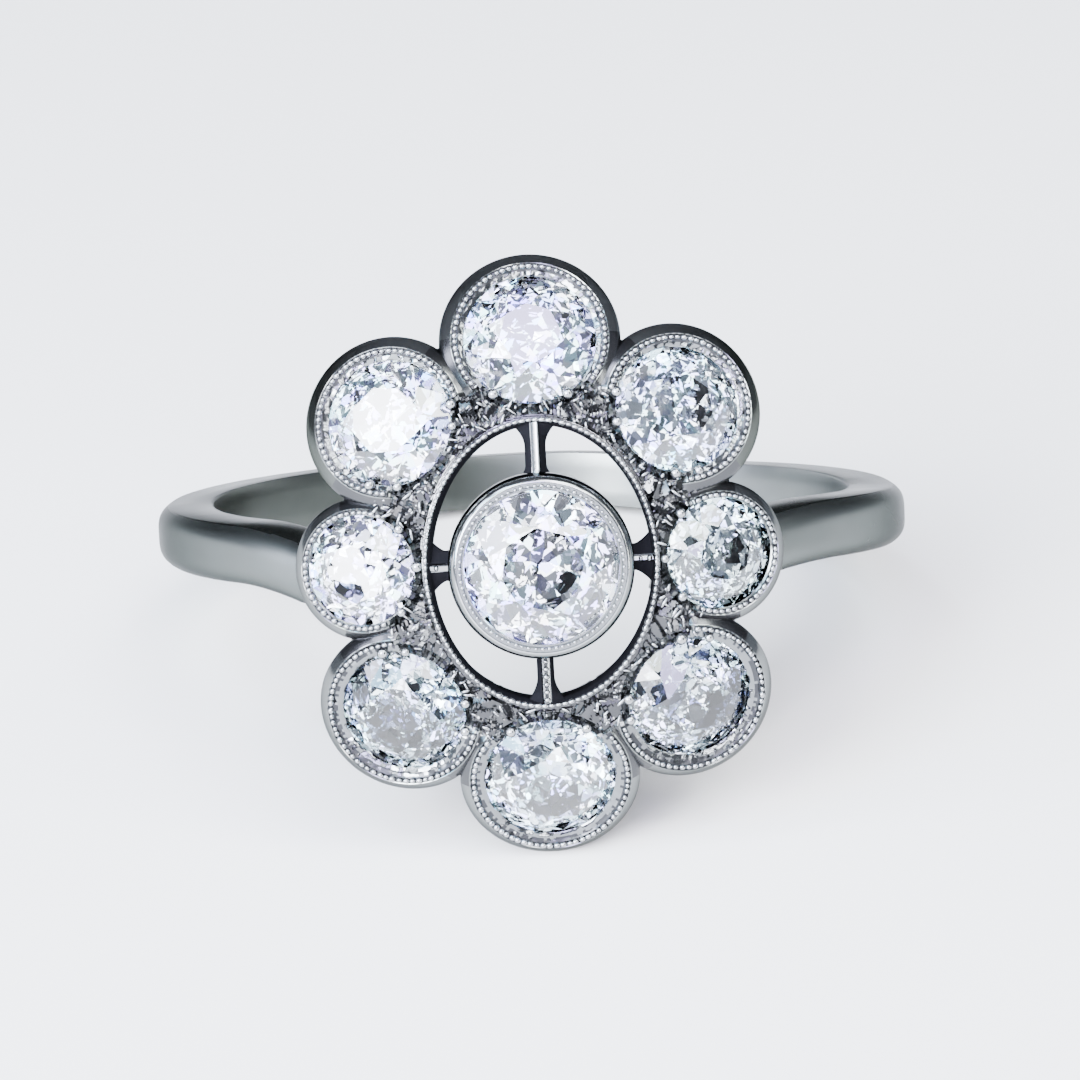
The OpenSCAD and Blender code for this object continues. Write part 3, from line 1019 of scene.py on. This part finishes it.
def row_on_circle(bm, place, radius, rise, start_deg, end_deg, pitch, size, luck):
    span = math.radians(end_deg - start_deg)
    count = max(int(round(radius * span / pitch)), 1)
    for k in range(count):
        turn = math.radians(start_deg) + span * (k + 0.5 + luck.uniform(-PITCH_LUCK, PITCH_LUCK)) / count
        spot = place @ Matrix.Rotation(turn, 4, "Z") @ Matrix.Translation((radius, 0.0, rise))
        add_bead(bm, spot, size, luck)


def make_beads():
    luck = random.Random(41)
    bm = bmesh.new()
    for index, petal in enumerate(PETALS):
        clockwise, anti = milled_span(index)
        rim = petal[3] / 2 + petal[4]
        radius = rim - bevel_of(petal) - BEAD_IN
        rise = RIM_RISE - BEAD_SUNK
        row_on_circle(bm, petal_place(petal), radius, rise, -clockwise, anti, BEAD_PITCH, 1.0, luck)
    place = Matrix.Translation((0.0, 0.0, CENTRE_RIM_H - RIM_RISE))
    radius = CENTRE_R - CENTRE_BEAD_IN
    row_on_circle(
        bm, place, radius, CENTRE_BEAD_UP, 0.0, 360.0, CENTRE_BEAD_PITCH, CENTRE_BEAD_SIZE, luck
    )
    w, l = GALLERY_W + GALLERY_BEAD_OUT, GALLERY_L + GALLERY_BEAD_OUT
    round_way = [oval_at(math.radians(d), w, l) for d in range(360)]
    spots = [
        Vector((r * math.cos(math.radians(d)), r * math.sin(math.radians(d))))
        for d, r in enumerate(round_way)
    ]
    walked = 0.0
    due = 0.0
    for d in range(360):
        a, b = spots[d], spots[(d + 1) % 360]
        step = (b - a).length
        while due < walked + step:
            p = a.lerp(b, (due - walked) / step)
            turn = math.atan2(p.y, p.x)
            heading = math.atan2((b - a).y, (b - a).x)
            spot = Matrix.Translation(dome_point(turn, p.length, GALLERY_BEAD_UP))
            spot = spot @ Matrix.Rotation(heading - math.pi / 2, 4, "Z")
            add_bead(bm, spot, GALLERY_BEAD_SIZE, luck, GALLERY_BEAD_LONGER)
            due += BEAD_PITCH
        walked += step
    for name, deg, _, _ in BARS:
        turn = math.radians(deg)
        near, far = CENTRE_R, oval_at(turn, GALLERY_W, GALLERY_L)
        count = BAR_BEADS.get(name, 0)
        for k in range(count):
            along = near + (far - near) * (k + 0.75) / (count + 0.4)
            top = CREST_H - BAR_RIDGE_DROP + BAR_BEAD_UP
            spot = Matrix.Rotation(turn, 4, "Z") @ Matrix.Translation((along, 0.0, top))
            add_bead(bm, spot, BAR_BEAD_SIZE, luck)
    # the beads get the painted highlight tone
    finish_piece("milled_edges", bm, HEAD, (HIGHLIT,), 180.0)


make_beads()

# Bright cuts
# Short curls and ridges left standing on the plate where the graver has cut round each stone.
# Their tops are coloured lighter as a painted highlight, so they stand out on the dark ground.
CHIP_COUNT = 640
CHIP_SINK = 0.02
CHIP_REACH = 5.0
CHIP_OFF_LIP = 0.16
CHIP_OFF_EDGE = 0.05
CHIP_OFF_STONE = 0.1
CHIP_LENGTHS = (0.05, 0.06, 0.08, 0.11, 0.16)
CHIP_WIDTHS = (0.026, 0.05)
CHIP_HIGH = 1.2
CHIP_SWING = 0.35


def make_chips():
    luck = random.Random(63)
    bm = bmesh.new()
    for _ in range(CHIP_COUNT):
        turn = luck.uniform(0.0, 2 * math.pi)
        low = oval_at(turn, GALLERY_W, GALLERY_L) + CHIP_OFF_LIP
        high = plate_edge(turn) - CHIP_OFF_EDGE
        out = luck.uniform(oval_at(0.0, GALLERY_W, GALLERY_L), CHIP_REACH)
        if not low < out < high:
            continue
        spot = dome_point(turn, out, PLATE_RISE - CHIP_SINK)
        if past_stone(spot) < CHIP_OFF_STONE:
            continue
        arm = spot - Vector((0.0, 0.0, DOME_MID_H))
        axis = min(PETAL_AXES, key=lambda one: arm.cross(one[0]).length - one[1])[0]
        away = (arm - axis * arm.dot(axis)).normalized()
        heading = math.atan2(away.y, away.x) + luck.choice((0.0, 0.0, math.pi / 2))
        heading += luck.gauss(0.0, CHIP_SWING)
        long, wide = luck.choice(CHIP_LENGTHS), luck.uniform(*CHIP_WIDTHS)
        place = Matrix.Translation(spot) @ Matrix.Rotation(heading, 4, "Z")
        stamp(bm, BEAD, place @ Matrix.Diagonal((long, wide, wide * CHIP_HIGH, 1.0)))
    finish_piece("bright_cuts", bm, HEAD, (HIGHLIT,), 180.0)


make_chips()

# Grains
# Small studs raised from the plate with a graver and pushed over the inner edge of each stone.
# Each has a rounded, polished top, coloured lighter as a painted highlight.
GRAIN_R = 0.14
GRAIN_OFF = 0.03
GRAIN_LUCK = (0.85, 1.1)
GRAIN_SWING_DEG = 3
# where the grains stand, in degrees from the line to the middle of the head
END_GRAINS = (-33.0, 33.0)
CORNER_GRAINS = (-61.0, -37.0, 37.0, 61.0)
SIDE_GRAINS = (-47.0, 0.0, 47.0)
GRAIN = ball_mesh("grain", 14, 10)


def make_grains():
    luck = random.Random(12)
    bm = bmesh.new()
    for petal in PETALS:
        _, deg, _, stone_d, _ = petal
        turns = SIDE_GRAINS if on_side(petal) else END_GRAINS if deg % 90 == 0 else CORNER_GRAINS
        for off in turns:
            turn = math.radians(180.0 + off + luck.uniform(-GRAIN_SWING_DEG, GRAIN_SWING_DEG))
            grow = GRAIN_R * luck.uniform(*GRAIN_LUCK)
            spot = (
                petal_place(petal)
                @ Matrix.Rotation(turn, 4, "Z")
                @ Matrix.Translation((stone_d / 2 + GRAIN_OFF, 0.0, GRAIN_OFF))
                @ Matrix.Diagonal((grow, grow, grow * 0.95, 1.0))
            )
            stamp(bm, GRAIN, spot)
    finish_piece("grains", bm, HEAD, (HIGHLIT,), 180.0)


make_grains()

# Stones
# Nine old-cut stones, each faceted by hand, so no two are quite alike.
# Eight sit in the petal collets and the ninth stands in the raised centre collet.
STONE_IOR = 2.417
TABLE_SHARE = 0.5
STAR_SHARE = 0.69
LOWER_SHARE = 0.34
CULET_SHARE = 0.08
CROWN_DEG = 36.0
FACET_SWING = 0.028
LOWER_SWING = 0.045
TIP_SHARE = 0.5
TIP_DEG = 38.0
TIP_SIDE = 0.2
TABLE_LUCK = (0.9, 1.08)
CROWN_SWING_DEG = 1.5
GIRDLE_STEPS = 32
CELL_SCALE = 2600.0
CENTRE_SPIN_DEG = 8.0
CENTRE_SEED = 77
PETAL_SEED = 100
# how far each petal's stone is turned in its seat, in the order of the petals
SPINS_DEG = (12.0, 31.0, 5.0, 22.0, 40.0, 17.0, 9.0, 27.0)


def old_polish_group():
    """Puts out a grey value and a slightly tipped normal for each small cell of hand polish."""
    tree = bpy.data.node_groups.new("old_polish", "ShaderNodeTree")
    tree.interface.new_socket("Tilt", in_out="INPUT", socket_type="NodeSocketFloat")
    tree.interface.new_socket("Drift", in_out="OUTPUT", socket_type="NodeSocketFloat")
    tree.interface.new_socket("Normal", in_out="OUTPUT", socket_type="NodeSocketVector")
    given = tree.nodes.new("NodeGroupInput")
    out = tree.nodes.new("NodeGroupOutput")
    coord = tree.nodes.new("ShaderNodeTexCoord")
    cells = tree.nodes.new("ShaderNodeTexVoronoi")
    cells.inputs["Scale"].default_value = CELL_SCALE
    link(tree, coord, "Object", cells, "Vector")
    parts = tree.nodes.new("ShaderNodeSeparateColor")
    link(tree, cells, "Color", parts, "Color")
    link(tree, parts, "Red", out, "Drift")
    centred = tree.nodes.new("ShaderNodeVectorMath")
    centred.operation = "SUBTRACT"
    centred.inputs[1].default_value = (0.5, 0.5, 0.5)
    link(tree, cells, "Color", centred, 0)
    tip = tree.nodes.new("ShaderNodeVectorMath")
    tip.operation = "SCALE"
    link(tree, centred, 0, tip, 0)
    link(tree, given, "Tilt", tip, "Scale")
    facing = tree.nodes.new("ShaderNodeNewGeometry")
    both = tree.nodes.new("ShaderNodeVectorMath")
    both.operation = "ADD"
    link(tree, facing, "Normal", both, 0)
    link(tree, tip, 0, both, 1)
    unit = tree.nodes.new("ShaderNodeVectorMath")
    unit.operation = "NORMALIZE"
    link(tree, both, 0, unit, 0)
    link(tree, unit, 0, out, "Normal")
    return tree


OLD_POLISH = old_polish_group()


def stone_material(name, tints, tilt, shine):
    """Clear stone, with a tint that differs from cell to cell: faint and cool in the light cells, while
    the darker cells are painted shade standing in for dark reflections.
    """
    mat = bpy.data.materials.new(name)
    mat.use_nodes = True
    tree = mat.node_tree
    shader = tree.nodes["Principled BSDF"]
    shader.inputs["Metallic"].default_value = 0.0
    shader.inputs["Transmission Weight"].default_value = 1.0
    shader.inputs["IOR"].default_value = STONE_IOR
    shader.inputs["Roughness"].default_value = 0.0
    polish = tree.nodes.new("ShaderNodeGroup")
    polish.node_tree = OLD_POLISH
    polish.inputs["Tilt"].default_value = tilt
    shader.inputs["Specular Tint"].default_value = (shine, shine, shine, 1.0)
    link(tree, polish, "Normal", shader, "Normal")
    band = tree.nodes.new("ShaderNodeValToRGB")
    band.color_ramp.interpolation = "CONSTANT"
    band.color_ramp.elements[0].color = (*tints[0], 1.0)
    band.color_ramp.elements[1].position = 1 - 1 / len(tints)
    band.color_ramp.elements[1].color = (*tints[-1], 1.0)
    for k in range(1, len(tints) - 1):
        stop = band.color_ramp.elements.new(k / len(tints))
        stop.color = (*tints[k], 1.0)
    link(tree, polish, "Drift", band, "Fac")
    link(tree, band, "Color", shader, "Base Color")
    return mat


WHITE_STONE = stone_material(
    "old_cut_stone",
    ((0.42, 0.40, 0.90), (0.90, 0.94, 1.0), (1.0, 1.0, 1.0), (0.95, 0.98, 1.0), (0.58, 0.92, 1.0)),
    tilt=0.032,
    shine=0.85,
)
COOL_STONE = stone_material(
    "old_cut_stone_cool",
    ((0.36, 0.40, 0.66), (0.68, 0.86, 0.92), (0.98, 1.0, 1.0), (0.78, 0.92, 1.0), (0.36, 0.62, 0.68)),
    tilt=0.04,
    shine=0.8,
)
SAGE_STONE = stone_material(
    "old_cut_stone_sage",
    ((0.20, 0.25, 0.33), (0.46, 0.56, 0.56), (0.80, 0.90, 0.91), (0.50, 0.60, 0.60), (0.22, 0.30, 0.29)),
    tilt=0.06,
    shine=0.5,
)
GREY_STONE = stone_material(
    "old_cut_stone_grey",
    ((0.01, 0.013, 0.03), (0.28, 0.37, 0.40), (0.95, 0.98, 1.0), (0.66, 0.77, 0.84), (0.04, 0.06, 0.065)),
    tilt=0.085,
    shine=0.5,
)
# stones of another tint than white, whose darker cells, near-black in the grey ones, are painted shade
TINT_AND_SHADE = {
    "right": SAGE_STONE,
    "upper_right": COOL_STONE,
    "bottom": COOL_STONE,
    "lower_left": GREY_STONE,
    "lower_right": GREY_STONE,
}


def facet(bm, a, b, c, swing, luck):
    """Grinds one facet through three points, tipped a little off true."""
    flat = (b - a).cross(c - a).normalized()
    if flat.dot(a + b + c) < 0 and abs(flat.z) < 0.999 and flat.dot(Vector((a.x, a.y, 0))) < 0:
        flat = -flat
    middle = (a + b + c) / 3
    flat = (flat + Vector([luck.uniform(-swing, swing) for _ in range(3)])).normalized()
    made = bmesh.ops.bisect_plane(
        bm,
        geom=bm.verts[:] + bm.edges[:] + bm.faces[:],
        dist=1e-6,
        plane_co=middle,
        plane_no=flat,
        clear_outer=True,
    )
    cut = [g for g in made["geom_cut"] if isinstance(g, bmesh.types.BMEdge)]
    if len(cut) > 2:
        bmesh.ops.holes_fill(bm, edges=cut, sides=0)


def make_stone(node, d, place, spin_deg, seed, material):
    luck = random.Random(seed)
    r = d / 2
    table_r = r * TABLE_SHARE * luck.uniform(*TABLE_LUCK)
    crown_deg = CROWN_DEG + luck.uniform(-CROWN_SWING_DEG, CROWN_SWING_DEG)
    table_z = (r - table_r) * math.tan(math.radians(crown_deg))
    table_z = min(table_z, r * (1 - TABLE_SHARE) * math.tan(math.radians(CROWN_DEG)))
    star_r = r * STAR_SHARE
    turn = math.pi / 8
    star_z = table_z * (r - star_r * math.cos(turn)) / (r - table_r)
    culet_r = r * CULET_SHARE
    culet_z = -GIRDLE_T - (r - culet_r) * math.tan(math.radians(PAVILION_DEG))
    low_r = r * LOWER_SHARE
    low_z = -GIRDLE_T - (culet_z + GIRDLE_T) * (low_r * math.cos(turn) - r) / (r - culet_r)

    def at(radius, step, z):
        return Vector((radius * math.cos(step * turn), radius * math.sin(step * turn), z))

    bm = bmesh.new()
    height = table_z - culet_z
    bmesh.ops.create_cone(
        bm,
        cap_ends=True,
        segments=GIRDLE_STEPS,
        radius1=r,
        radius2=r,
        depth=height,
        matrix=Matrix.Translation((0.0, 0.0, (table_z + culet_z) / 2)),
    )
    for k in range(0, 16, 2):
        a, b, c = at(r, k, 0.0), at(star_r, k + 1, star_z), at(star_r, k - 1, star_z)
        facet(bm, a, b, c, FACET_SWING, luck)
        a, b, c = at(r, k, -GIRDLE_T), at(low_r, k - 1, low_z), at(low_r, k + 1, low_z)
        facet(bm, a, b, c, LOWER_SWING, luck)
    for k in range(0, 16, 2):
        a, b, c = at(table_r, k, table_z), at(star_r, k + 1, star_z), at(table_r, k + 2, table_z)
        facet(bm, a, b, c, FACET_SWING, luck)
        for side_step in (0, 2):
            a, b = at(r, k + side_step, 0.0), at(r, k + 1, 0.0)
            facet(bm, a, b, at(star_r, k + 1, star_z), FACET_SWING, luck)
            a, b = at(r, k + side_step, -GIRDLE_T), at(r, k + 1, -GIRDLE_T)
            facet(bm, a, b, at(low_r, k + 1, low_z), LOWER_SWING, luck)
    tip_r = r * TIP_SHARE
    tip_z = -GIRDLE_T - (r - tip_r) * math.tan(math.radians(PAVILION_DEG))
    drop = tip_r * math.tan(math.radians(TIP_DEG)) / 2
    for k in range(0, 16, 2):
        side_way = at(TIP_SIDE * r, k + 4, 0.0)
        a, b = at(tip_r, k, tip_z) + side_way, at(tip_r, k, tip_z) - side_way
        facet(bm, a, b, at(tip_r / 2, k, tip_z - drop), LOWER_SWING, luck)
    sunk = place @ Matrix.Translation((0.0, 0.0, -GIRDLE_DROP))
    whole = HEAD @ sunk @ Matrix.Rotation(math.radians(spin_deg), 4, "Z")
    finish_piece(node + "_cut", bm, whole, (material,), 0.5, node)


for index, petal in enumerate(PETALS):
    tint = TINT_AND_SHADE.get(petal[0], WHITE_STONE)
    make_stone(
        "stone_" + petal[0], petal[3], petal_place(petal), SPINS_DEG[index], PETAL_SEED + index, tint
    )
CENTRE_PLACE = Matrix.Translation((0.0, 0.0, CENTRE_RIM_H - RIM_RISE))
make_stone(
    "centre_stone", 2 * CENTRE_STONE_R, CENTRE_PLACE, CENTRE_SPIN_DEG, CENTRE_SEED, WHITE_STONE
)

# Floor, light and camera
# A pale studio table with soft light from above and both sides, seen from the photo's angle.
# Dark cards stand out of view, for the metal to mirror.
FLOOR_TONE = (0.95, 0.93, 0.905, 1.0)
FLOOR_ROUGH = 0.6
FLOOR_SIZE = 1.2
CARD_TONE = (0.06, 0.06, 0.065, 1.0)
CARD_ROUGH = 0.8
AIM = Vector((0.0, REST_BACK, REST_LIFT)) * MM


def plain_material(name, tone, rough):
    mat = bpy.data.materials.new(name)
    mat.use_nodes = True
    mat.node_tree.nodes["Principled BSDF"].inputs["Base Color"].default_value = tone
    mat.node_tree.nodes["Principled BSDF"].inputs["Roughness"].default_value = rough
    return mat


def stage_sheet(name, size, place, material):
    """A flat sheet of the stage, one size across before its place is applied."""
    bm = bmesh.new()
    bmesh.ops.create_grid(bm, x_segments=1, y_segments=1, size=size)
    bmesh.ops.transform(bm, matrix=place, verts=bm.verts)
    mesh = bpy.data.meshes.new(name)
    bm.to_mesh(mesh)
    bm.free()
    sheet = bpy.data.objects.new(name, mesh)
    bpy.context.scene.collection.objects.link(sheet)
    mesh.materials.append(material)


stage_sheet("floor", FLOOR_SIZE, Matrix.Identity(4), plain_material("pale_table", FLOOR_TONE, FLOOR_ROUGH))


def soft_light(name, place, size, power, tint):
    light = bpy.data.lights.new(name, "AREA")
    light.color = tint
    light.shape = "DISK"
    light.size = size
    light.energy = power
    lamp = bpy.data.objects.new(name, light)
    lamp.location = place
    lamp.rotation_euler = (AIM - Vector(place)).to_track_quat("-Z", "Y").to_euler()
    bpy.context.scene.collection.objects.link(lamp)


KEY_PLACE = (-0.155, -0.225, 0.13)
KEY_SIZE = 0.17
KEY_POWER = 3.4
KEY_TINT = (0.88, 0.91, 1.0)
soft_light("key_left", KEY_PLACE, KEY_SIZE, KEY_POWER, KEY_TINT)
LAMP_COUNT = 32
LAMP_AWAY = 0.34
LAMP_SIZE = 0.068
LAMP_POWER = 0.26
LAMP_LOW_DEG = 6
LAMP_LIFT_DEG = 66
LAMP_STEP_DEG = 137.5
LAMP_SWEEP_DEG = 160
LAMP_TINTS = (
    (0.80, 0.83, 1.0),
    (0.95, 1.0, 0.98),
    (0.90, 0.93, 1.0),
    (0.95, 0.95, 1.0),
    (0.66, 0.62, 1.0),
    (0.90, 1.0, 0.96),
    (0.42, 0.72, 1.0),
)
# small soft lamps spread evenly over the front and both sides
for k in range(LAMP_COUNT):
    lift = math.radians(LAMP_LOW_DEG + LAMP_LIFT_DEG * k / LAMP_COUNT)
    turn = math.radians((k * LAMP_STEP_DEG) % LAMP_SWEEP_DEG - LAMP_SWEEP_DEG / 2)
    spot = Vector((math.sin(turn) * math.cos(lift), -math.cos(turn) * math.cos(lift), math.sin(lift)))
    soft_light("lamp_%d" % k, spot * LAMP_AWAY, LAMP_SIZE, LAMP_POWER, LAMP_TINTS[k % len(LAMP_TINTS)])

# dark card: name, place, width, height
CARDS = (
    ("front_card", (0.0, -0.36, 0.17), 0.075, 0.30),
    ("back_card", (0.0, 0.27, 0.18), 0.62, 0.26),
    ("left_card", (-0.27, 0.11, 0.16), 0.24, 0.18),
    ("right_card", (0.27, 0.11, 0.16), 0.24, 0.18),
    ("near_right_card", (0.178, -0.193, 0.135), 0.18, 0.23),
    ("top_card", (0.0, 0.09, 0.29), 0.46, 0.30),
)
DARK_CARD = plain_material("dark_card", CARD_TONE, CARD_ROUGH)
for name, place, wide, high in CARDS:
    facing = (AIM - Vector(place)).to_track_quat("Z", "Y").to_matrix().to_4x4()
    where = Matrix.Translation(place) @ facing @ Matrix.Diagonal((wide, high, 1.0, 1.0))
    stage_sheet(name, 0.5, where, DARK_CARD)

SKY_TONE = (0.78, 0.84, 1.0, 1.0)
SKY_STRENGTH = 0.75
world = bpy.data.worlds.new("studio")
bpy.context.scene.world = world
world.use_nodes = True
world.node_tree.nodes["Background"].inputs["Color"].default_value = SKY_TONE
world.node_tree.nodes["Background"].inputs["Strength"].default_value = SKY_STRENGTH

VIEW_UP_DEG = 6.3
VIEW_SIDE_DEG = -1.0
VIEW_ROLL_DEG = 2.4
VIEW_AWAY = 120.0
LENS = 148.2
SENSOR_W = 36.0
CLIP_NEAR = 0.005
# shift of the view, in pixels of the 1080 by 1080 photo
PHOTO_PX = 1080
SHIFT_X_PX = 9.0
SHIFT_Y_PX = -28.0
side = math.radians(VIEW_SIDE_DEG)
rise = math.radians(REST_TILT_DEG + VIEW_UP_DEG)
back = Vector((math.sin(side) * math.cos(rise), -math.cos(side) * math.cos(rise), math.sin(rise)))
camera = bpy.data.objects.new("camera", bpy.data.cameras.new("camera"))
camera.data.lens = LENS
camera.data.sensor_width = SENSOR_W
camera.data.clip_start = CLIP_NEAR
camera.location = AIM + back * VIEW_AWAY * MM
camera.rotation_euler = (
    back.to_track_quat("Z", "Y").to_matrix() @ Matrix.Rotation(math.radians(-VIEW_ROLL_DEG), 3, "Z")
).to_euler()
camera.data.shift_x = SHIFT_X_PX / PHOTO_PX
camera.data.shift_y = SHIFT_Y_PX / PHOTO_PX
bpy.context.scene.collection.objects.link(camera)
bpy.context.scene.camera = camera
